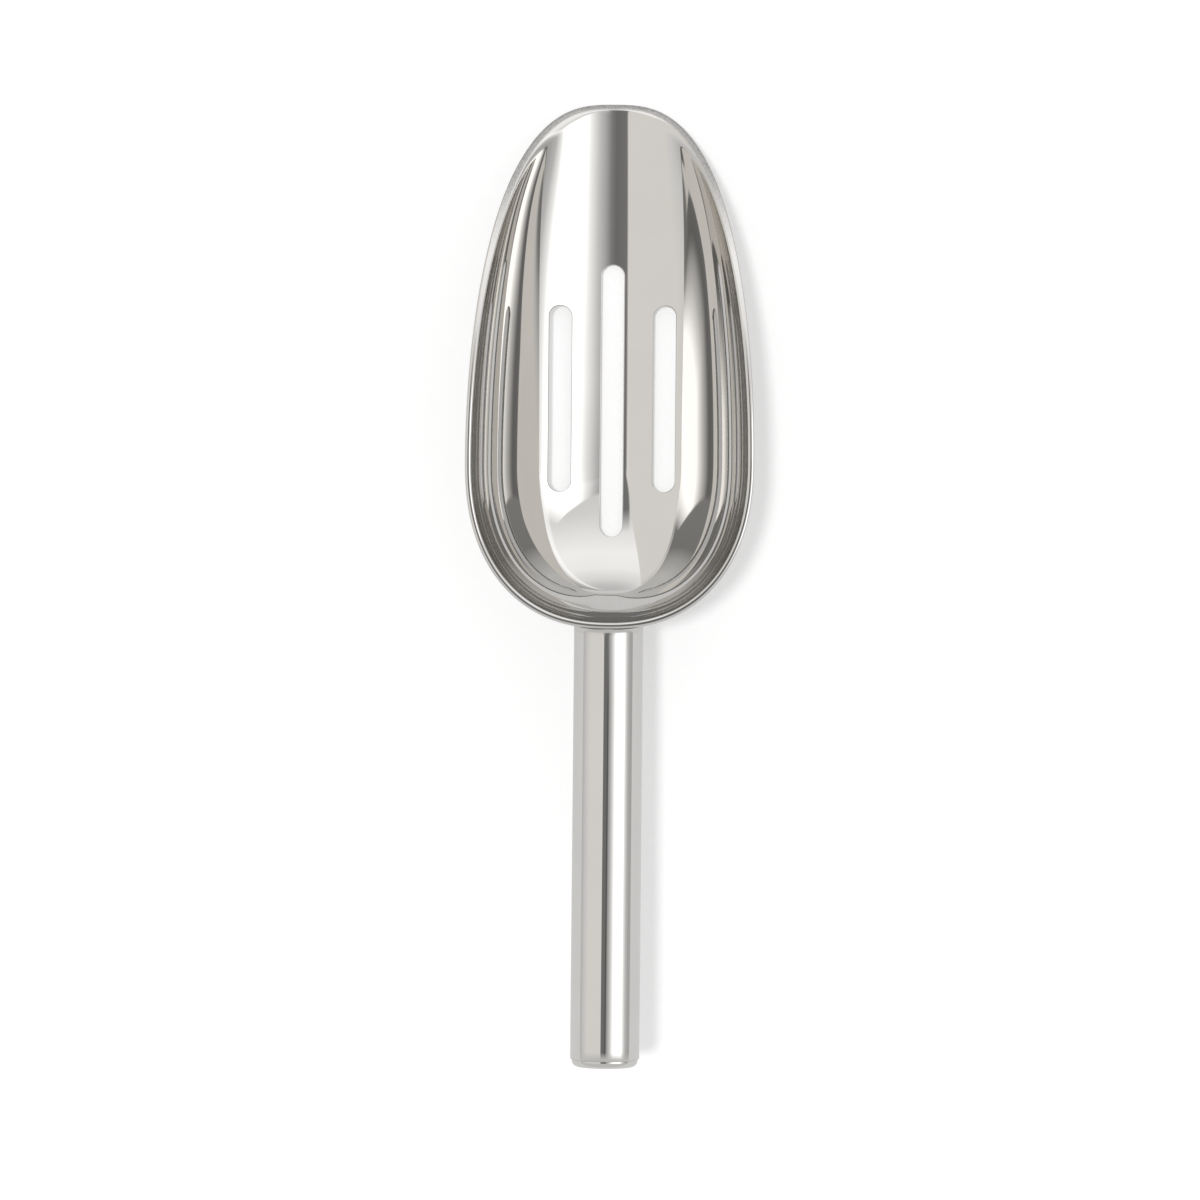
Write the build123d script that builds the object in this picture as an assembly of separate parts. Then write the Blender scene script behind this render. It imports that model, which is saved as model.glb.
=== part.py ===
from build123d import *
import os
from math import cos, radians, sin

# Slotted ice scoop: a pressed stainless steel bowl on a hollow round handle, all in millimetres.
# +Z is up, +Y points at the digging tip and X runs across the bowl. The scoop lies on its keel.
# While it is being built, Y is counted from the widest station of the bowl, over the keel's lowest
# line. At the end everything moves so that the origin is under the middle of the scoop's box.

# Bowl: one pressing. Its inside is described by the rim's outline in plan and by the rim's height.
sheet = 1.6  # sheet thickness on the keel
side_wall = 1.75  # wall thickness along the rim's sides and back
half_width = 37.75  # inside, at the widest station
front_length = 100.6  # inside, from the widest station to the tip
back_length = 44.2  # inside, from the widest station to the back wall
depth = 37.0  # inside, from the keel to the rim's sides
front_taper = 0.79  # power of the front outline: 1 is an ellipse, less is fuller
back_fullness = 2.3  # superellipse power of the back outline in plan
heel_fullness = 2.5  # superellipse power of the back wall's profile, so that the keel is long
nose_wall = 1.7  # rim's width at the tip
nose_drop = 1.2  # how far the ground digging edge falls towards its outside
lip_taper = 0.714  # power of the front outline outside, where the lip stands out of the wall
lip_power = 6  # how late in the wall's rise the lip begins
tip_ease = 50.0  # degrees less that the wall climbs at the tip than at the sides
tip_power = 12  # how late towards the tip the wall lies down

# Drain slots: a long one on the keel and a shorter one on each side of it.
slot_width = 6.3
slot_pitch = 14.7
keel_slot = (-20.2, 56.7)  # from and to, along Y
side_slot = (-7.5, 45.0)

# Handle: a round tube that is coped to the back wall, closed by a pressed cap.
handle_radius = 9.5
handle_wall = 0.8
handle_rise = 2.0  # degrees that the handle climbs towards its end
handle_below_rim = 1.2  # from the rim down to the top of the handle, at the back wall
tube_end = 117.8  # from the outside of the back wall to the end of the tube

cap_radius = 9.05
cap_length = 2.3  # how far the cap stands out of the tube
cap_edge = 1.7  # radius of the cap's rolled edge
cap_wall = 0.9
cap_skirt = 6.0  # how far the cap reaches into the tube

vent_radius = 0.7  # hole that lets the air out while the cap is welded, and the plug that shuts it
vent_head_radius = 0.95
vent_head = 0.35

weld_height = 1.1  # of the weld between the bowl and the handle, out from the tube
weld_reach = 1.7  # along the tube, which stays less than the bowl's wall
weld_steps = 3
root_taper = 0.1  # how much thinner the dressed root gets under the weld and inside the coped end
seam_leg = 0.35  # of the weld between the tube and the cap

# Numbers of points that the bowl's two skins are drawn through.
rim_points = 73
meridian_points = 25
pole_angle = 1.5  # degrees: the skins start this far up their meridians, inside the keel slot

wall_out = half_width + side_wall
tip_out = front_length + nose_wall
back_out = back_length + side_wall
rim_top = sheet + depth


def plan(angle, width, front, back, taper):
    """Rim outline in plan at an angle from the widest station: 90 is the tip, -90 is the back."""
    across, along = cos(radians(angle)), sin(radians(angle))
    if angle >= 0:
        return width * max(across, 0) ** taper, front * along
    power = 2 / back_fullness
    return width * max(across, 0) ** power, -back * (-along) ** power


def wall_angle(angle):
    """How steeply the wall stands at the rim, in degrees. It lies down towards the tip."""
    return 90 - tip_ease * max(sin(radians(angle)), 0) ** tip_power


def rim_height(angle):
    """Height of the rim's inner edge. The front falls so that the floor keeps its curvature."""
    if angle < 0:
        return rim_top
    fall = max(cos(radians(angle)), 0) ** (2 * front_taper)
    return sheet + depth * fall / (1 + cos(radians(wall_angle(angle))))


def edge_drop(angle):
    """How much lower the rim's outer edge is than its inner edge."""
    return nose_drop * max(sin(radians(angle)), 0) ** 2


def meridian(angle, climb):
    """Share of the way out and of the way up, for a climb from 0 on the keel to 90 at the rim."""
    fullness = 2 + (heel_fullness - 2) * min(sin(radians(angle)), 0) ** 2
    power = 2 / fullness
    last = radians(wall_angle(angle))
    turn = last * climb / 90
    out = (sin(turn) / sin(last)) ** power
    up = (1 - max(cos(turn), 0) ** power) / (1 - max(cos(last), 0) ** power)
    return out, up


def inner_point(angle, climb):
    out, up = meridian(angle, climb)
    x, y = plan(angle, half_width, front_length, back_length, front_taper)
    return x * out, y * out, sheet + (rim_height(angle) - sheet) * up


def outer_point(angle, climb):
    out, up = meridian(angle, climb)
    x, y = plan(angle, wall_out, tip_out, back_out, front_taper)
    lip_x = plan(angle, wall_out, tip_out, back_out, lip_taper)[0]
    x += (lip_x - x) * out**lip_power
    return x * out, y * out, (rim_height(angle) - edge_drop(angle)) * up


def skin(point):
    """Smooth surface over the right half of the bowl, from the pole to the rim."""
    step = (90 - pole_angle) / (meridian_points - 1)
    climbs = [pole_angle + step * j for j in range(meridian_points)]
    rows = []
    for i in range(rim_points):
        angle = -90 + 180 * i / (rim_points - 1)
        rows.append([point(angle, climb) for climb in climbs])
    return Face.make_surface_from_array_of_points(rows, tol=0.005, min_deg=3, max_deg=5)


def border(face, spot):
    """The edge of the face that passes the spot."""
    return face.edges().sort_by_distance(spot)[0]


def half_bowl():
    inner, outer = skin(inner_point), skin(outer_point)
    middle = (90 + pole_angle) / 2
    borders = [(0, 90), (0, pole_angle), (90, middle), (-90, middle)]
    faces = [inner, outer]
    for angle, climb in borders:
        pair = border(inner, inner_point(angle, climb)), border(outer, outer_point(angle, climb))
        faces.append(Face.make_surface_from_curves(*pair))
    return Solid(Shell(faces))


def slot_cutter(x, ends):
    start, stop = ends
    place = Pos(x, (start + stop) / 2, -sheet) * Rot(0, 0, 90)
    return extrude(place * SlotOverall(stop - start, slot_width), rim_top)


def make_bowl():
    half = half_bowl()
    whole = half + half.mirror(Plane.YZ)
    whole -= slot_cutter(0, keel_slot)
    for side in (-1, 1):
        whole -= slot_cutter(side * slot_pitch, side_slot)
    return whole.solids()[0]


bowl = make_bowl()

# The handle's own frame: its origin is on the back wall, and its Z runs out along the handle.
handle_height = rim_top - handle_below_rim - handle_radius
handle_direction = (0, -cos(radians(handle_rise)), sin(radians(handle_rise)))
handle_frame = Plane((0, -back_out, handle_height), x_dir=(1, 0, 0), z_dir=handle_direction)
inside_bowl = 16  # how far a tube reaches through the back wall before it is coped
back_wall = bowl & Pos(0, -back_out, 0) * Box(4 * handle_radius, 2 * inside_bowl, 3 * rim_top)


def rod(radius, start, stop):
    """Round bar in the handle's own frame, from one height to another."""
    return Pos(0, 0, start) * Cylinder(radius, stop - start, align=(Align.CENTER, Align.CENTER, Align.MIN))


def root_cone():
    """The tube's root, which is dressed a little thinner than the grip."""
    base = (Align.CENTER, Align.CENTER, Align.MIN)
    cone = Cone(handle_radius - root_taper, handle_radius, inside_bowl + weld_reach, align=base)
    return Pos(0, 0, -inside_bowl) * cone


def make_handle_tube():
    """The tube's root follows the back wall. Only the piece outside the bowl is kept."""
    tube = root_cone() + rod(handle_radius, weld_reach, tube_end)
    tube = handle_frame * (tube - rod(handle_radius - handle_wall, -inside_bowl, tube_end))
    return (tube - back_wall).solids().sort_by(Axis.Y)[0]


def make_root_weld():
    """Hollow fillet round the tube's root, in steps that lie one after another along the wall."""
    weld = None
    for step in range(weld_steps):
        reach = weld_reach * (step + 1) / weld_steps
        height = weld_height * (1 - step / weld_steps)
        collar = handle_frame * (rod(handle_radius + height, -inside_bowl, weld_reach) - root_cone())
        ring = (collar & Pos(0, -reach, 0) * back_wall) - back_wall
        ring = ring.solids().sort_by(Axis.Y)[0]
        weld = ring if weld is None else weld + ring
    return weld


def make_end_cap():
    """Pressed cup: its skirt fits the tube, and its rolled edge stands on the tube's end."""
    shape = rod(cap_radius, 0, cap_length)
    shape = fillet(shape.edges().group_by(Axis.Z)[-1], cap_edge)
    shape += rod(handle_radius - handle_wall, -cap_skirt, 0)
    hollow = rod(handle_radius - handle_wall - cap_wall, -cap_skirt, cap_length - cap_wall)
    hollow = fillet(hollow.edges().group_by(Axis.Z)[-1], cap_edge - cap_wall)
    shape = shape - hollow - rod(vent_radius, 0, cap_length)
    return handle_frame * Pos(0, 0, tube_end) * shape


def make_cap_weld():
    """Thin ring of weld in the corner between the tube's end and the cap."""
    corner = Polyline((cap_radius, 0), (cap_radius + seam_leg, 0), (cap_radius, seam_leg), close=True)
    ring = revolve(Plane.XZ * make_face(corner), Axis.Z)
    return handle_frame * Pos(0, 0, tube_end) * ring


def make_vent_plug():
    head = rod(vent_head_radius, cap_length, cap_length + vent_head)
    head = fillet(head.edges().group_by(Axis.Z)[-1], 0.8 * vent_head)
    return handle_frame * Pos(0, 0, tube_end) * (head + rod(vent_radius, cap_length - cap_wall, cap_length))


nodes = {
    "bowl": bowl,
    "handle_tube": make_handle_tube(),
    "root_weld": make_root_weld(),
    "end_cap": make_end_cap(),
    "cap_weld": make_cap_weld(),
    "vent_plug": make_vent_plug(),
}

# The origin goes under the middle of the whole scoop's box, on the surface that it lies on.
box = Compound(children=[Compound(shape.solids()) for shape in nodes.values()]).bounding_box()
to_origin = Pos(-box.center().X, -box.center().Y, -box.min.Z)

os.makedirs("parts", exist_ok=True)
for name, shape in nodes.items():
    export_step(to_origin * shape, f"parts/{name}.step")

grip_length = tube_end - weld_reach
grip_middle = handle_frame.origin + Vector(handle_direction) * (tube_end + weld_reach) / 2
print("box", to_origin.position, box.size)
print("grip: middle", to_origin.position + grip_middle, "direction", handle_direction)
print("grip: radius", handle_radius, "length", grip_length)
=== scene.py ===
from functools import cache
from math import cos, pi, radians, sin

import bmesh
import bpy
from mathutils import Matrix, Vector
from mathutils.bvhtree import BVHTree
from mathutils.interpolate import poly_3d_calc


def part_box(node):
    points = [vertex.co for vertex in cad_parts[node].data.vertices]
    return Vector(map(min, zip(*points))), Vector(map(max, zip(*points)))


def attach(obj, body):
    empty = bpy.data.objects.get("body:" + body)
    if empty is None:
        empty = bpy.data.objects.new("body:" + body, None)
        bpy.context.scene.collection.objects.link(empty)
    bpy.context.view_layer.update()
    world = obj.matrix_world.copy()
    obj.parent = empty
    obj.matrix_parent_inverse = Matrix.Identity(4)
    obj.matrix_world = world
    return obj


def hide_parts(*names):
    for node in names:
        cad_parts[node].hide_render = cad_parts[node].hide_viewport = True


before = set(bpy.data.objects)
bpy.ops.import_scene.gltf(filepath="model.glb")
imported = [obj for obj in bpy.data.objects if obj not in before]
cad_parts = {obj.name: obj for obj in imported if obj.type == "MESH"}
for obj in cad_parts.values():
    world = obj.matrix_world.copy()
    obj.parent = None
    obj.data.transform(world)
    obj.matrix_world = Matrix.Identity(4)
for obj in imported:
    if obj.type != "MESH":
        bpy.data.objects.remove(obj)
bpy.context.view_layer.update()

# Slotted ice scoop in polished stainless steel. Everything is in metres. While the bowl is shaped, Y is
# counted from its widest station and Z from the lowest line of its keel, and then it moves to its place.
mm = 0.001

# Bowl: one pressing. Its inside is described by the rim's outline in plan and by the rim's height.
sheet = 1.6 * mm  # sheet thickness on the keel
side_wall = 1.75 * mm  # wall thickness along the rim's sides and back
half_width = 37.75 * mm  # inside, at the widest station
front_length = 100.6 * mm  # inside, from the widest station to the tip
back_length = 44.2 * mm  # inside, from the widest station to the back wall
depth = 37.0 * mm  # inside, from the keel to the rim's sides
front_taper = 0.79  # power of the front outline: 1 is an ellipse, less is fuller
back_fullness = 2.3  # superellipse power of the back outline in plan
heel_fullness = 2.5  # superellipse power of the back wall's profile
nose_wall = 1.7 * mm  # rim's width at the tip
nose_drop = 1.2 * mm  # how far the ground digging edge falls towards its outside
lip_taper = 0.714  # power of the front outline outside, where the lip stands out of the wall
lip_power = 6  # how late in the wall's rise the lip begins
tip_ease = 50  # degrees less that the wall climbs at the tip than at the sides
tip_power = 12  # how late towards the tip the wall lies down
wall_out = half_width + side_wall
tip_out = front_length + nose_wall
back_out = back_length + side_wall
rim_top = sheet + depth

side_bead = 0.8 * mm  # how far the rim's corners are rounded at the sides and the back
tip_bead = 0.16 * mm  # and at the tip, where the edge is ground thin
shoulder_roll = 1.5 * mm  # how much further the wall rolls over into the lip at the shoulders
roll_share = 0.55  # how far across the lip that roll may reach
roll_margin = 0.08 * mm  # and how far short of that it stops
lip_crown = 0.08 * mm  # how far the lip bulges in its middle
ground_width = 2.0 * mm  # satin band along the lip's outer edge
ground_fade = 0.3  # share of the band's width over which it fades into the polish
ground_start = 0.3  # front share at which the band begins, and over which it grows to its full strength

# Drain slots: a long one on the keel and a shorter one on each side of it
slot_width = 6.3 * mm
slot_pitch = 14.7 * mm
keel_slot = (-20.2 * mm, 56.7 * mm)
side_slot = (-7.5 * mm, 45.0 * mm)
slot_round = 0.22 * mm  # radius of the slots' burnished edges
slots = [(0, keel_slot), (-slot_pitch, side_slot), (slot_pitch, side_slot)]

# Handle: a round tube that is coped to the back wall, closed by a pressed cap
handle_radius = 9.5 * mm
handle_wall = 0.8 * mm
handle_rise = radians(2.0)  # how steeply the handle climbs towards its end
handle_below_rim = 1.2 * mm  # from the rim down to the top of the handle, at the back wall
tube_end = 117.8 * mm  # from the outside of the back wall to the end of the tube
tube_edge = 0.12 * mm  # radius of the tube's dressed end
cap_radius = 9.05 * mm
cap_length = 2.3 * mm  # how far the cap stands out of the tube
cap_edge = 1.7 * mm  # radius of the cap's rolled edge
cap_wall = 0.9 * mm
cap_skirt = 6.0 * mm  # how far the cap reaches into the tube
vent_radius = 0.7 * mm
vent_head_radius = 0.95 * mm
vent_head = 0.35 * mm

# Welds
weld_reach = 1.7 * mm  # along the tube, from the bowl's back wall
weld_height = 1.05 * mm  # out from the tube
weld_height_on_top = 0.3 * mm  # where it is dressed almost flush
seam_leg = 0.35 * mm  # of the weld between the tube and the cap
sunk = 0.04 * mm  # how deep a weld's underside lies in the steel that it joins

# Mesh fineness
around_half_rim = 200
inner_rows = 66  # up the inside of the wall
roll_rows = 14  # over the rim's inner corner
crest_rows = 8  # across the rim
corner_rows = 6  # over its outer corner
outer_rows = 44  # down the outside
section_rows = inner_rows + roll_rows + crest_rows + corner_rows + outer_rows
pole_angle = 1.5  # degrees: the sections start this far up their meridians, inside the keel slot
tube_sides = 128
slot_round_steps = 4
weld_steps = 8
crisp_angle = radians(50)  # an edge that turns more than this stays sharp

low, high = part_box("bowl")
bowl_place = Vector((0, low.y + back_out, high.z - rim_top))


def plan(angle, width, front, back, taper):
    """Rim outline in plan at an angle from the widest station: 90 is the tip, -90 is the back."""
    across, along = cos(radians(angle)), sin(radians(angle))
    if abs(angle) == 90:
        across = 0
    if angle >= 0:
        return width * max(across, 0) ** taper, front * along
    power = 2 / back_fullness
    return width * max(across, 0) ** power, -back * (-along) ** power


def wall_angle(angle):
    """How steeply the wall stands at the rim, in degrees. It lies down towards the tip."""
    return 90 - tip_ease * max(sin(radians(angle)), 0) ** tip_power


def rim_height(angle):
    """Height of the rim's inner edge. The front falls so that the floor keeps its curvature."""
    if angle < 0:
        return rim_top
    fall = max(cos(radians(angle)), 0) ** (2 * front_taper)
    return sheet + depth * fall / (1 + cos(radians(wall_angle(angle))))


def front_share(angle):
    """0 at the sides and the back, 1 at the tip."""
    return max(sin(radians(angle)), 0) ** 2


def meridian(angle, climb):
    """Share of the way out and of the way up, for a climb from 0 on the keel to 90 at the rim."""
    power = 2 / (2 + (heel_fullness - 2) * min(sin(radians(angle)), 0) ** 2)
    last = radians(wall_angle(angle))
    turn = last * climb / 90
    out = (sin(turn) / sin(last)) ** power
    up = (1 - max(cos(turn), 0) ** power) / (1 - max(cos(last), 0) ** power)
    return out, up


def inner_point(angle, climb):
    out, up = meridian(angle, climb)
    x, y = plan(angle, half_width, front_length, back_length, front_taper)
    return Vector((x * out, y * out, sheet + (rim_height(angle) - sheet) * up))


def outer_point(angle, climb):
    out, up = meridian(angle, climb)
    x, y = plan(angle, wall_out, tip_out, back_out, front_taper)
    lip_x = plan(angle, wall_out, tip_out, back_out, lip_taper)[0]
    x += (lip_x - x) * out**lip_power
    return Vector((x * out, y * out, (rim_height(angle) - nose_drop * front_share(angle)) * up))


def climb_below_rim(point, angle, distance):
    """The climb at which a skin is that far short of the rim's edge."""
    edge = point(angle, 90)
    near, far = 90, 40  # the climb lies between these
    halvings = 30
    for _ in range(halvings):
        middle = (near + far) / 2
        if (point(angle, middle) - edge).length < distance:
            near = middle
        else:
            far = middle
    return near


def curve(start, corner, end, share):
    """Quadratic curve that leaves start and reaches end along the lines to the corner."""
    return start.lerp(corner, share).lerp(corner.lerp(end, share), share)


def bowl_section(angle):
    """Points from the keel up the inside, over the rim and down the outside to the keel again."""
    share = front_share(angle)
    bead = side_bead + (tip_bead - side_bead) * share
    nose = (90 - wall_angle(angle)) / tip_ease  # 0 where the wall stands upright, 1 at the tip
    roll = side_bead + (tip_bead - side_bead) * nose + shoulder_roll * 4 * nose * (1 - nose)
    edge_in, edge_out = inner_point(angle, 90), outer_point(angle, 90)
    width = (edge_out - edge_in).length
    last_in = climb_below_rim(inner_point, angle, roll)
    last_out = climb_below_rim(outer_point, angle, bead)
    crest_in = edge_in.lerp(edge_out, min(roll, roll_share * width - roll_margin) / width)
    crest_out = edge_out.lerp(edge_in, bead / width)
    crown = lip_crown * share

    points = []
    for row in range(inner_rows):
        points.append(inner_point(angle, pole_angle + (last_in - pole_angle) * row / inner_rows))
    for row in range(roll_rows):
        points.append(curve(inner_point(angle, last_in), edge_in, crest_in, row / roll_rows))
    for row in range(crest_rows):
        across = row / crest_rows
        bulge = Vector((0, 0, crown * 4 * across * (1 - across)))
        points.append(crest_in.lerp(crest_out, across) + bulge)
    for row in range(corner_rows):
        points.append(curve(crest_out, edge_out, outer_point(angle, last_out), row / corner_rows))
    for row in range(outer_rows + 1):
        points.append(outer_point(angle, last_out + (pole_angle - last_out) * row / outer_rows))
    return points


def clamped(value):
    return min(max(value, 0), 1)


def finished(bm, name):
    """Makes the mesh an object whose faces point outwards, with smooth faces and crisp corners."""
    bm.normal_update()
    bmesh.ops.recalc_face_normals(bm, faces=bm.faces)
    for face in bm.faces:
        face.smooth = True
    for edge in bm.edges:
        if edge.is_manifold and edge.calc_face_angle() > crisp_angle:
            edge.smooth = False
    mesh = bpy.data.meshes.new(name)
    bm.to_mesh(mesh)
    bm.free()
    piece = bpy.data.objects.new(name, mesh)
    bpy.context.collection.objects.link(piece)
    return piece


def extruded(bm, ring, carried):
    """Extrudes a ring of edges. What each old vertex carries goes on to the new one."""
    made = bmesh.ops.extrude_edge_only(bm, edges=ring)["geom"]
    passed_on = {}
    for item in made:
        if isinstance(item, bmesh.types.BMVert):
            for edge in item.link_edges:
                old = edge.other_vert(item)
                if old in carried:
                    passed_on[item] = carried[old]
    new_ring = []
    for item in made:
        if isinstance(item, bmesh.types.BMEdge) and all(vert in passed_on for vert in item.verts):
            new_ring.append(item)
    return new_ring, passed_on


# ---- bowl ----------------------------------------------------------------------------------------

def pressed_bowl():
    """The bowl before its slots are cut: a grid folded over the rim, and its mirror image."""
    bm = bmesh.new()
    bmesh.ops.create_grid(bm, x_segments=around_half_rim, y_segments=section_rows, size=0.5)
    ground = bm.verts.layers.float.new("ground_edge")
    sections = [bowl_section(-90 + 180 * i / around_half_rim) for i in range(around_half_rim + 1)]
    lip = range(inner_rows + 1, section_rows - outer_rows)
    for vert in bm.verts:
        column = round((vert.co.x + 0.5) * around_half_rim)
        row = round((vert.co.y + 0.5) * section_rows)
        vert.co = sections[column][row] + bowl_place
        angle = -90 + 180 * column / around_half_rim
        if row in lip:
            inside = (outer_point(angle, 90) - sections[column][row]).length
            band = clamped((ground_width - inside) / (ground_fade * ground_width) + 0.5)
            vert[ground] = band * clamped((front_share(angle) - ground_start) / ground_start)
    bmesh.ops.mirror(bm, geom=bm.verts[:] + bm.edges[:] + bm.faces[:], axis="X", merge_dist=1e-7)
    poles = [edge for edge in bm.edges if edge.is_boundary]
    bmesh.ops.bridge_loops(bm, edges=poles)
    return finished(bm, "bowl_blank")


def slot_punch(bm, x, ends):
    """Straight-sided punch with round ends, wider than the slot by its rounded edges."""
    radius = slot_width / 2 + slot_round
    reach = (ends[1] - ends[0]) / 2 - slot_width / 2
    sides = 96
    half_step = Matrix.Rotation(pi / sides, 4, "Z")
    made = bmesh.ops.create_circle(bm, cap_ends=True, segments=sides, radius=radius, matrix=half_step)
    for vert in made["verts"]:
        vert.co.y += reach if vert.co.y > 0 else -reach
        vert.co += bowl_place + Vector((x, (ends[0] + ends[1]) / 2, -2 * sheet))
    face = made["verts"][0].link_faces[0]
    top = bmesh.ops.extrude_face_region(bm, geom=[face])["geom"]
    moved = [item for item in top if isinstance(item, bmesh.types.BMVert)]
    bmesh.ops.translate(bm, verts=moved, vec=(0, 0, rim_top))


def inward(place, x, ends):
    """From a point on a slot's outline, the way to the slot's middle line, and how far that is."""
    start = ends[0] + slot_width / 2 + bowl_place.y
    stop = ends[1] - slot_width / 2 + bowl_place.y
    middle = Vector((x, min(max(place.y, start), stop), place.z))
    way = middle - place
    return way.normalized(), way.length


def surface_at(tree, mesh, place, values):
    """Smooth normal of the blank at the nearest point of it, and its value there."""
    spot, _, index, _ = tree.find_nearest(place)
    corners = mesh.polygons[index].vertices
    weights = poly_3d_calc([mesh.vertices[c].co for c in corners], spot)
    normal = Vector((0, 0, 0))
    value = 0
    for weight, corner in zip(weights, corners):
        normal += weight * mesh.vertices[corner].normal
        value += weight * values[corner].value
    return normal.normalized(), value


def punched(blank):
    """The blank's mesh with the slots cut through it."""
    bm = bmesh.new()
    for x, ends in slots:
        slot_punch(bm, x, ends)
    punch = finished(bm, "slot_punches")
    cut = blank.modifiers.new("slots", "BOOLEAN")
    cut.operation = "DIFFERENCE"
    cut.solver = "EXACT"
    cut.object = punch
    graph = bpy.context.evaluated_depsgraph_get()
    mesh = bpy.data.meshes.new_from_object(blank.evaluated_get(graph))
    bpy.data.objects.remove(punch)
    return mesh


def rounded_ring(bm, ring, x, ends, side, smooth_way):
    """Rolls one border of a slot over its edge, and returns the edges that it ends with."""
    plans = {}
    for edge in ring:
        for vert in edge.verts:
            way, _ = inward(vert.co, x, ends)
            normal = Vector(vert[smooth_way])
            fall = -(normal.x * way.x + normal.y * way.y) / normal.z
            start = vert.co.copy()
            corner = start + slot_round * (way + Vector((0, 0, fall)))
            end = corner - Vector((0, 0, side * slot_round))
            plans[vert] = start, corner, end, normal, way
    for step in range(1, slot_round_steps + 1):
        share = step / slot_round_steps
        ring, plans = extruded(bm, ring, plans)
        for vert, (start, corner, end, normal, way) in plans.items():
            vert.co = curve(start, corner, end, share)
            vert[smooth_way] = normal.lerp(way, share).normalized()
    return ring


def burnish_slot(bm, x, ends, smooth_way):
    """Swaps a slot's punched walls for a narrower one with rounded edges above and below."""
    outline = slot_width / 2 + slot_round
    touching = 0.02 * mm
    upright = 0.3
    walls = []
    for face in bm.faces:
        near = [abs(inward(vert.co, x, ends)[1] - outline) < touching for vert in face.verts]
        if all(near) and abs(face.normal.z) < upright:
            walls.append(face)
    bmesh.ops.delete(bm, geom=walls, context="FACES")
    borders = [edge for edge in bm.edges if edge.is_boundary]
    rings = []
    for side in (1, -1):
        ring = [edge for edge in borders if edge.verts[0][smooth_way].z * side > 0]
        rings += rounded_ring(bm, ring, x, ends, side, smooth_way)
    bmesh.ops.bridge_loops(bm, edges=rings)


def slotted_bowl():
    """The whole bowl, with the smooth normals of its blank, and the search tree of the blank's surface."""
    blank = pressed_bowl()
    tree = BVHTree.FromObject(blank, bpy.context.evaluated_depsgraph_get())
    values = blank.data.attributes["ground_edge"].data
    mesh = punched(blank)

    bm = bmesh.new()
    bm.from_mesh(mesh)
    bmesh.ops.remove_doubles(bm, verts=bm.verts, dist=1e-6)
    smooth_way = bm.verts.layers.float_vector.new("smooth_way")
    ground = bm.verts.layers.float.get("ground_edge")
    for vert in bm.verts:
        vert[smooth_way], vert[ground] = surface_at(tree, blank.data, vert.co, values)
    for x, ends in slots:
        burnish_slot(bm, x, ends, smooth_way)
    normals = [Vector(vert[smooth_way]) for vert in bm.verts]
    bm.verts.layers.float_vector.remove(smooth_way)
    for face in bm.faces:
        face.smooth = True
    bm.to_mesh(mesh)
    bm.free()
    bpy.data.objects.remove(blank)

    mesh.name = "bowl_shell"
    mesh.normals_split_custom_set_from_vertices(normals)
    piece = bpy.data.objects.new("bowl_shell", mesh)
    bpy.context.collection.objects.link(piece)
    return piece, tree


# ---- handle --------------------------------------------------------------------------------------

handle_way = Vector((0, -cos(handle_rise), sin(handle_rise)))
handle_base = Vector((0, -back_out, rim_top - handle_below_rim - handle_radius)) + bowl_place
side_way = Vector((1, 0, 0))
upper_way = side_way.cross(handle_way).normalized()


def on_handle(turn, radius, along):
    """Point at a turn round the handle's axis (0 is +X, a quarter is upwards)."""
    return handle_base + along * handle_way + radius * (cos(turn) * side_way + sin(turn) * upper_way)


def wall_along(tree, turn, radius):
    """How far out along the handle the bowl's outer wall lies, on a line beside the handle's axis."""
    far = 30 * mm
    distance = tree.ray_cast(on_handle(turn, radius, far), -handle_way)[3]
    return far - distance


def sweep(bm, rows):
    """Skins a closed tube of rings, each by its function from a turn to a point."""
    circle = bmesh.ops.create_circle(bm, cap_ends=False, segments=tube_sides, radius=1)["verts"]
    turns = {vert: 2 * pi * i / tube_sides for i, vert in enumerate(circle)}
    first_ring = list(bm.edges)
    for vert, turn in turns.items():
        vert.co = rows[0](turn)
    ring = first_ring
    for row in rows[1:]:
        ring, turns = extruded(bm, ring, turns)
        for vert, turn in turns.items():
            vert.co = row(turn)
    bmesh.ops.bridge_loops(bm, edges=first_ring + ring)


def handle_tube(tree):
    """Polished tube, coped to the bowl's back wall. Its rings even out towards its square end."""
    bore = handle_radius - handle_wall
    stretches = 24
    edge_steps = 3

    @cache
    def root_at(turn, radius):
        return wall_along(tree, turn, radius)

    def between(radius, share):
        def point(turn):
            along = root_at(turn, radius) * (1 - share) + (tube_end - tube_edge) * share
            return on_handle(turn, radius, along)
        return point

    def square(radius, along):
        def point(turn):
            return on_handle(turn, radius, along)
        return point

    rows = [between(bore, 0)]
    rows += [between(handle_radius, i / stretches) for i in range(stretches)]
    for i in range(edge_steps + 1):
        bend = radians(90 * i / edge_steps)
        radius = handle_radius - tube_edge * (1 - cos(bend))
        rows.append(square(radius, tube_end - tube_edge * (1 - sin(bend))))
    rows.append(square(bore, tube_end))
    bm = bmesh.new()
    sweep(bm, rows)
    return finished(bm, "handle_tube_polished")


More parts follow.
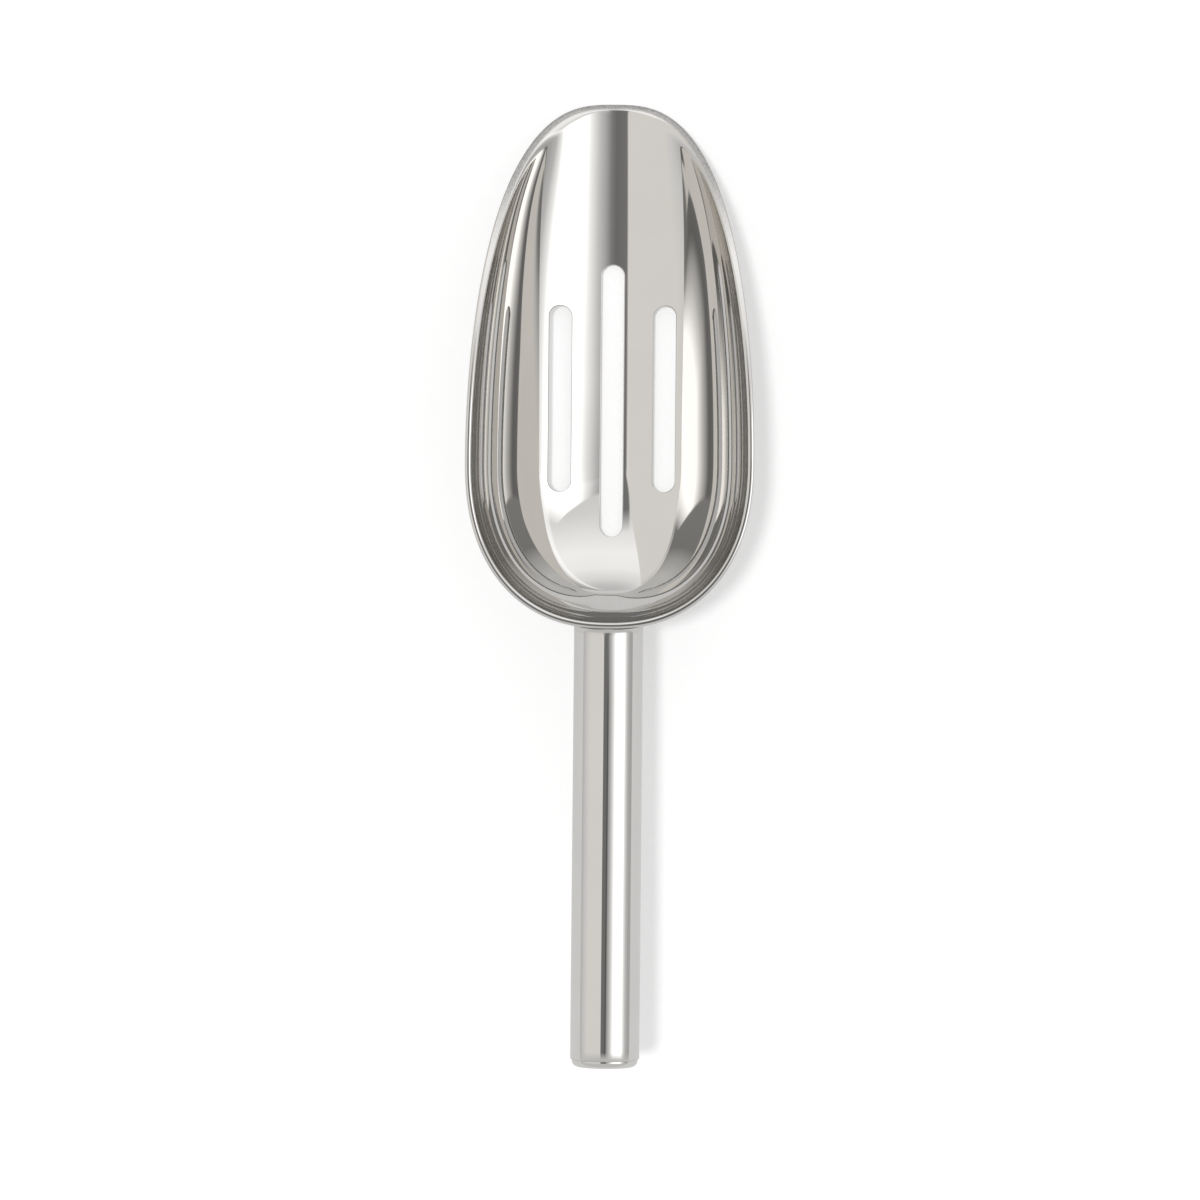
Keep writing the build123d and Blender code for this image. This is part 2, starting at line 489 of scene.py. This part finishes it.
def root_weld(tree):
    """Hollow fillet round the tube's root. It is dressed almost flush on top."""
    def height_at(turn):
        upward = max(sin(turn), 0) ** 4
        return weld_height + (weld_height_on_top - weld_height) * upward

    def face(share):
        def point(turn):
            top = handle_radius + height_at(turn)
            foot = wall_along(tree, turn, handle_radius)
            start = on_handle(turn, handle_radius, foot + weld_reach)
            corner = on_handle(turn, handle_radius, foot)
            end = on_handle(turn, top, wall_along(tree, turn, top))
            return curve(start, corner, end, share)
        return point

    def underside(up, out):
        def point(turn):
            rise = height_at(turn) * up
            along = wall_along(tree, turn, handle_radius + rise) - sunk + weld_reach * out
            return on_handle(turn, handle_radius - sunk + rise, along)
        return point

    rows = [face(i / weld_steps) for i in range(weld_steps + 1)]
    rows += [underside(1, 0), underside(0, 0), underside(0, 1)]
    bm = bmesh.new()
    sweep(bm, rows)
    return finished(bm, "root_weld_fillet")


def turned(name, outline, closed):
    """Turns an outline of (radius, along) pairs round the handle's axis at the tube's end."""
    bm = bmesh.new()
    verts = [bm.verts.new((radius, 0, along)) for radius, along in outline]
    edges = [bm.edges.new(pair) for pair in zip(verts, verts[1:])]
    if closed:
        edges.append(bm.edges.new((verts[-1], verts[0])))
    bmesh.ops.spin(bm, geom=verts + edges, cent=(0, 0, 0), axis=(0, 0, 1), angle=2 * pi,
                   steps=tube_sides, use_merge=True)
    bmesh.ops.remove_doubles(bm, verts=bm.verts, dist=1e-7)
    for vert in bm.verts:
        x, y, along = vert.co
        vert.co = handle_base + (tube_end + along) * handle_way + x * side_way + y * upper_way
    return finished(bm, name)


def arc(radius, along, size, start, stop, steps):
    """Points on a round corner about (radius, along), with angles in degrees from outwards."""
    points = []
    for i in range(steps + 1):
        bend = radians(start + (stop - start) * i / steps)
        points.append((radius + size * cos(bend), along + size * sin(bend)))
    return points


def end_cap():
    """Pressed cup: its skirt fits the tube, and its rolled edge stands on the tube's end."""
    skirt_radius = handle_radius - handle_wall
    bore = skirt_radius - cap_wall
    edge_in = cap_edge - cap_wall
    middle = cap_length - cap_edge
    outline = [(vent_radius, cap_length)]
    outline += [(cap_radius * share, cap_length) for share in (0.25, 0.5, 0.7)]
    outline += arc(cap_radius - cap_edge, middle, cap_edge, 90, 0, 12)
    outline += [(cap_radius, 0), (skirt_radius, 0), (skirt_radius, -cap_skirt), (bore, -cap_skirt)]
    outline += arc(bore - edge_in, middle, edge_in, 0, 90, 6)
    outline += [(vent_radius, middle + edge_in)]
    return turned("end_cap_pressed", outline, closed=True)


def cap_weld():
    """A thin bead in the corner between the tube's end and the cap."""
    outline = arc(cap_radius, 0, seam_leg, 0, 90, 6)
    outline += [(cap_radius - sunk, seam_leg), (cap_radius - sunk, -sunk), (cap_radius + seam_leg, -sunk)]
    return turned("cap_weld_bead", outline, closed=True)


def vent_plug():
    """Low domed plug in the vent hole, in the middle of the cap."""
    outline = [(0, cap_length + vent_head)]
    for angle in range(10, 91, 10):
        bend = radians(angle)
        outline.append((vent_head_radius * sin(bend), cap_length + vent_head * cos(bend)))
    outline += [(vent_radius, cap_length), (vent_radius, cap_length - cap_wall), (0, cap_length - cap_wall)]
    return turned("vent_plug_head", outline, closed=False)


# ---- materials -----------------------------------------------------------------------------------

# Heights of the polish's slow waves and fine marks, in millimetres
bowl_waves = 0.004
handle_waves = 0.0015
fine_marks = 0.0002
weld_waves = 0.02
weld_marks = 0.002

# How the marks are drawn out: less along Y makes them longer that way
along_bowl = (1, 0.05, 1)
along_handle = (1, 0.02, 1)
no_way = (1, 1, 1)

wave_size = 60.0  # per metre, like the next two
mark_size = 2500.0
smear_size = 38.0


def node(tree, kind, settings=(), **inputs):
    """A shader node with its settings and inputs. An input goes by its name, or by i and its number."""
    made = tree.nodes.new(kind)
    for key, value in dict(settings).items():
        setattr(made, key, value)
    for key, value in inputs.items():
        numbered = key[0] == "i" and key[1:].isdigit()
        place = made.inputs[int(key[1:]) if numbered else key.replace("_", " ")]
        if isinstance(value, bpy.types.NodeSocket):
            tree.links.new(value, place)
        else:
            place.default_value = value
    return made


def calc(tree, operation, *values):
    inputs = {f"i{i}": value for i, value in enumerate(values)}
    return node(tree, "ShaderNodeMath", {"operation": operation}, **inputs).outputs[0]


def range_of(tree, value, low_in, high_in, low_out, high_out):
    made = node(tree, "ShaderNodeMapRange", i0=value, i1=low_in, i2=high_in, i3=low_out, i4=high_out)
    return made.outputs[0]


def mix(tree, share, first, second):
    """A colour between two others."""
    settings = {"data_type": "RGBA"}
    return node(tree, "ShaderNodeMix", settings, i0=share, i6=first, i7=second).outputs[2]


def shade(value):
    """A colour from three numbers, or a grey from one."""
    if isinstance(value, (int, float)):
        return (value, value, value, 1)
    return (*value, 1)


def ramp(tree, factor, stops):
    made = node(tree, "ShaderNodeValToRGB", Fac=factor)
    elements = made.color_ramp.elements
    elements.remove(elements[0])
    elements[0].position = stops[0][0]
    elements[0].color = shade(stops[0][1])
    for position, value in stops[1:]:
        elements.new(position).color = shade(value)
    return made.outputs["Color"]


def polish_group():
    """Hand polish: slow waves in the surface, fine marks along one way, and faint smears."""
    group = bpy.data.node_groups.new("hand_polish", "ShaderNodeTree")
    sizes = ("Wave Size", wave_size), ("Mark Size", mark_size)
    for name, usual in (*sizes, ("Waves", 1.0), ("Marks", 1.0)):
        socket = group.interface.new_socket(name, in_out="INPUT", socket_type="NodeSocketFloat")
        socket.default_value = usual
    group.interface.new_socket("Stretch", in_out="INPUT", socket_type="NodeSocketVector")
    for name in ("Height", "Smear", "Mark"):
        group.interface.new_socket(name, in_out="OUTPUT", socket_type="NodeSocketFloat")
    given = group.nodes.new("NodeGroupInput").outputs
    result = group.nodes.new("NodeGroupOutput")
    place = node(group, "ShaderNodeTexCoord").outputs["Object"]
    slow = node(group, "ShaderNodeTexNoise", Vector=place, Scale=given["Wave Size"], Detail=1.0,
                Roughness=0.4).outputs[0]
    stretched = node(group, "ShaderNodeMapping", Vector=place, Scale=given["Stretch"]).outputs[0]
    fine = node(group, "ShaderNodeTexNoise", Vector=stretched, Scale=given["Mark Size"], Detail=3.0,
                Roughness=0.6).outputs[0]
    smear = node(group, "ShaderNodeTexNoise", Vector=place, Scale=smear_size, Detail=4.0, Roughness=0.55,
                 Distortion=0.6).outputs[0]
    waves = calc(group, "MULTIPLY", slow, given["Waves"])
    marks = calc(group, "MULTIPLY", fine, given["Marks"])
    group.links.new(calc(group, "ADD", waves, marks), result.inputs["Height"])
    group.links.new(smear, result.inputs["Smear"])
    group.links.new(fine, result.inputs["Mark"])
    return group


def bare_metal(name, polish, waves, marks, stretch):
    """Metal with the polish in its surface, and the polish's values over that surface."""
    material = bpy.data.materials.new(name)
    material.use_nodes = True
    tree = material.node_tree
    shader = tree.nodes["Principled BSDF"]
    shader.inputs["Metallic"].default_value = 1
    group = {"node_tree": polish}
    surface = node(tree, "ShaderNodeGroup", group, Waves=waves, Marks=marks, Stretch=stretch).outputs
    bump = node(tree, "ShaderNodeBump", Height=surface["Height"], Strength=1.0, Distance=mm)
    tree.links.new(bump.outputs[0], shader.inputs["Normal"])
    return material, surface


def finish(material, colour, roughness):
    tree = material.node_tree
    shader = tree.nodes["Principled BSDF"]
    tree.links.new(colour, shader.inputs["Base Color"])
    tree.links.new(roughness, shader.inputs["Roughness"])


def mirror_steel(name, polish, waves, stretch):
    """Mirror-polished stainless steel, faintly smeared, with the colour and roughness it is to get."""
    material, surface = bare_metal(name, polish, waves, fine_marks, stretch)
    tree = material.node_tree
    colour = ramp(tree, surface["Smear"], [(0.3, (0.785, 0.772, 0.752)), (0.7, (0.815, 0.802, 0.782))])
    roughness = range_of(tree, surface["Smear"], 0.3, 0.75, 0.015, 0.035)
    return material, surface, colour, roughness


def handle_steel(polish):
    made = mirror_steel("polished_handle_steel", polish, handle_waves, along_handle)
    material, _, colour, roughness = made
    finish(material, colour, roughness)
    return material


def bowl_steel(polish):
    """Like the handle's, but with a scratched satin band where the digging edge is ground."""
    made = mirror_steel("polished_bowl_steel", polish, bowl_waves, along_bowl)
    material, surface, colour, roughness = made
    tree = material.node_tree
    band = node(tree, "ShaderNodeAttribute", {"attribute_name": "ground_edge"}).outputs["Fac"]
    satin = range_of(tree, surface["Mark"], 0.3, 0.7, 0.22, 0.34)
    scratched = ramp(tree, surface["Mark"], [(0.35, (0.42, 0.41, 0.4)), (0.65, (0.58, 0.57, 0.555))])
    settings = {"data_type": "FLOAT"}
    roughness = node(tree, "ShaderNodeMix", settings, i0=band, i2=roughness, i3=satin).outputs[0]
    finish(material, mix(tree, band, colour, scratched), roughness)
    return material


def weld_steel(polish):
    """Weld that is ground and brushed, but not polished bright."""
    material, surface = bare_metal("ground_weld_steel", polish, weld_waves, weld_marks, no_way)
    tree = material.node_tree
    colour = ramp(tree, surface["Smear"], [(0.3, (0.74, 0.72, 0.69)), (0.7, (0.84, 0.82, 0.79))])
    finish(material, colour, range_of(tree, surface["Smear"], 0.3, 0.75, 0.14, 0.24))
    return material


# ---- pieces --------------------------------------------------------------------------------------

def scoop():
    """Makes the six pieces, gives each its material and body, and hides its CAD node."""
    polish = polish_group()
    on_bowl = "bowl_steel", bowl_steel(polish)
    on_handle_parts = "handle_steel", handle_steel(polish)
    on_welds = "weld_steel", weld_steel(polish)
    bowl, back_wall = slotted_bowl()
    pieces = [
        (bowl, "bowl", on_bowl),
        (handle_tube(back_wall), "handle_tube", on_handle_parts),
        (root_weld(back_wall), "root_weld", on_welds),
        (end_cap(), "end_cap", on_handle_parts),
        (cap_weld(), "cap_weld", on_welds),
        (vent_plug(), "vent_plug", on_welds),
    ]
    for piece, cad_node, (slot, material) in pieces:
        piece.data.materials.clear()
        piece.data.materials.append(material)
        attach(piece, "root")
        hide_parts(cad_node)


# ---- studio --------------------------------------------------------------------------------------

table_white = 0.85
painted_table_glow = 0.27  # painted light: the table glows by itself, apart from what it gets from the world, so that its shadows stay pale
key_share = 0.27  # how bright the key light by itself makes the table
world_strength = 2
widest_lean = 100  # degrees from straight up to each side, over which the lights are laid out


def table():
    """White table that glows by itself, which is painted light. Painted shade: it looks dimmer by every
    mirror bounce that the light to it has made in the steel.
    """
    bm = bmesh.new()
    bmesh.ops.create_grid(bm, x_segments=1, y_segments=1, size=4)
    mesh = bpy.data.meshes.new("table")
    bm.to_mesh(mesh)
    bm.free()
    piece = bpy.data.objects.new("table", mesh)
    bpy.context.collection.objects.link(piece)
    material = bpy.data.materials.new("white_table_with_painted_shade")
    material.use_nodes = True
    tree = material.node_tree
    shader = tree.nodes["Principled BSDF"]
    shader.inputs["Roughness"].default_value = 1
    shader.inputs["Specular IOR Level"].default_value = 0
    shader.inputs["Emission Strength"].default_value = 1
    bounces = calc(tree, "MULTIPLY", node(tree, "ShaderNodeLightPath").outputs["Glossy Depth"], 0.25)
    # painted shade: the table's colour darkens with every mirror bounce, so the steel's reflections of it
    # are shaded
    white_with_painted_shade = ramp(tree, bounces, [(0, table_white), (0.2, 0.38), (0.3, 0.38), (0.45, 0.04)])
    # painted light: the table glows by itself, and its glow changes with the mirror bounces too
    painted_glow = ramp(tree, bounces, [(0, painted_table_glow), (0.2, 0.36), (0.3, 0.36), (0.45, 0.18)])
    tree.links.new(white_with_painted_shade, shader.inputs["Base Color"])
    tree.links.new(painted_glow, shader.inputs["Emission Color"])
    mesh.materials.append(material)


def key_light():
    """Soft light from the left, a little off straight above. The steel doesn't mirror it."""
    lamp = bpy.data.lights.new("key", "SUN")
    lamp.energy = key_share * pi / table_white
    lamp.angle = radians(7)
    key = bpy.data.objects.new("key", lamp)
    key.visible_glossy = False
    key.rotation_euler = (0, radians(-9), 0)
    bpy.context.collection.objects.link(key)


def two_lights(tree, share):
    """The light on the left, a dark gap and the light on the right: with crisp edges and with softer ones.

    A stop says how bright it is at an angle, counted in degrees to the right of straight up.
    """
    def at(lean):
        return (lean + widest_lean) / (2 * widest_lean)

    warm = (0.39, 0.382, 0.368)
    crisp = ramp(tree, share, [
        (at(-95), 0.24), (at(-85), 0.29), (at(-75), 0.34), (at(-60), warm), (at(-15), warm),
        (at(-13.8), 0.44), (at(-13), 0.09), (at(-1), 0.085), (at(0.5), 0.045), (at(3), 0.05),
        (at(4), 0.15), (at(7), 0.2), (at(12), 0.28), (at(20), 0.46), (at(29), 0.8), (at(56), 0.85),
        (at(61), 0.52), (at(70), 0.3), (at(80), 0.22), (at(95), 0.22),
    ])
    softer = ramp(tree, share, [
        (at(-95), 0.24), (at(-75), 0.34), (at(-60), warm), (at(-13.8), warm), (at(-13), 0.1),
        (at(-3), 0.085), (at(1), 0.12), (at(6), 0.22), (at(12), 0.32), (at(20), 0.52), (at(28), 0.8),
        (at(56), 0.85), (at(63), 0.5), (at(72), 0.28), (at(95), 0.17),
    ])
    return crisp, softer


def wall_mask(tree, x, y, z, lean, again):
    """1 where the pale wall beyond the digging tip stands, whose near edge bends over the scoop."""
    slope = calc(tree, "DIVIDE", x, z)
    bend = calc(tree, "MULTIPLY_ADD", calc(tree, "MULTIPLY", slope, slope), 0.32, 0.15)
    edge = calc(tree, "SUBTRACT", calc(tree, "DIVIDE", y, z), bend)
    near = range_of(tree, edge, -0.01, 0.02, 0, 1)
    over_gap = calc(tree, "MAXIMUM", range_of(tree, lean, 2, 5, 0, 1), again)
    deep = calc(tree, "SUBTRACT", y, calc(tree, "MULTIPLY", z, 0.5))
    far = range_of(tree, deep, -0.2, 0.06, 0, 1)
    beyond = calc(tree, "MAXIMUM", calc(tree, "MULTIPLY", near, over_gap), far)
    # it begins at the left light's far edge, which leans away from the scoop's middle line
    away = calc(tree, "ADD", calc(tree, "MULTIPLY", z, 0.16), calc(tree, "MULTIPLY", y, 0.307))
    leaning = range_of(tree, calc(tree, "ADD", x, away), 0, 0.01, 0, 1)
    right = calc(tree, "MAXIMUM", range_of(tree, lean, -13.3, -12.9, 0, 1), leaning)
    side = range_of(tree, lean, 55, 64, 1, 0)
    return calc(tree, "MULTIPLY", calc(tree, "MULTIPLY", beyond, right), side)


def soft_world():
    """Two broad soft lights along the scoop with a gap between them, and a pale wall beyond its tip.

    The steel mirrors them dimmer after a second bounce. Camera and table see an even white instead.
    """
    world = bpy.data.worlds.new("soft_lights")
    bpy.context.scene.world = world
    world.use_nodes = True
    tree = world.node_tree
    way = node(tree, "ShaderNodeTexCoord").outputs["Generated"]
    x, y, z = node(tree, "ShaderNodeSeparateXYZ", Vector=way).outputs
    lean = calc(tree, "DEGREES", calc(tree, "ARCTAN2", x, z))
    passed = node(tree, "ShaderNodeLightPath").outputs
    again = calc(tree, "GREATER_THAN", passed["Glossy Depth"], 1.5)

    # light that comes out of the bowl by its second wall sees the right light's edge further out
    drift = calc(tree, "MULTIPLY", calc(tree, "MULTIPLY", calc(tree, "MINIMUM", y, 0.0), 200.0), again)
    share = range_of(tree, calc(tree, "ADD", lean, drift), -widest_lean, widest_lean, 0, 1)
    crisp, softer = two_lights(tree, share)
    forward = calc(tree, "MAXIMUM", range_of(tree, y, 0.04, 0.06, 0, 1), again)
    lights = mix(tree, forward, crisp, softer)

    bright = ramp(tree, y, [
        (0.1, 0.36), (0.3, 0.39), (0.5, 0.47), (0.7, 0.54), (0.87, 0.52), (0.96, 0.42), (1.0, 0.3),
    ])
    dim = ramp(tree, y, [(0.1, 0.14), (0.5, 0.13), (0.62, 0.24), (0.8, 0.34), (0.95, 0.32)])
    wall = mix(tree, again, bright, dim)
    around = mix(tree, wall_mask(tree, x, y, z, lean, again), lights, wall)

    # what lies behind the handle's end is darker than the lights
    behind = range_of(tree, y, -0.3, -0.2, 1, 0)
    mirrored = mix(tree, behind, around, mix(tree, again, shade(0.3), shade(0.12)))
    straight = calc(tree, "MAXIMUM", passed["Is Camera Ray"], passed["Is Diffuse Ray"])
    background = tree.nodes["Background"]
    tree.links.new(mix(tree, straight, mirrored, shade(0.3)), background.inputs["Color"])
    background.inputs["Strength"].default_value = world_strength


def camera():
    """Almost straight above, a little to the right of the scoop's middle line and looking back at it."""
    data = bpy.data.cameras.new("camera")
    data.lens = 108
    data.sensor_width = 36
    data.clip_start = 0.01
    data.clip_end = 20
    view = bpy.data.objects.new("camera", data)
    bpy.context.collection.objects.link(view)
    bpy.context.scene.camera = view
    place = Vector((0.017, -0.0060, 1.0195))
    target = Vector((-0.0024, -0.0060, 0.030))
    roll = radians(0.5)
    ahead = (target - place).normalized()
    right = ahead.cross(Vector((-sin(roll), cos(roll), 0))).normalized()
    up = right.cross(ahead)
    turn = Matrix((right, up, -ahead)).transposed().to_4x4()
    view.matrix_world = Matrix.Translation(place) @ turn


scoop()
table()
key_light()
soft_world()
camera()
scene = bpy.context.scene
scene.view_settings.view_transform = "Standard"
scene.cycles.glossy_bounces = 12
scene.cycles.max_bounces = 16
scene.cycles.use_denoising = True
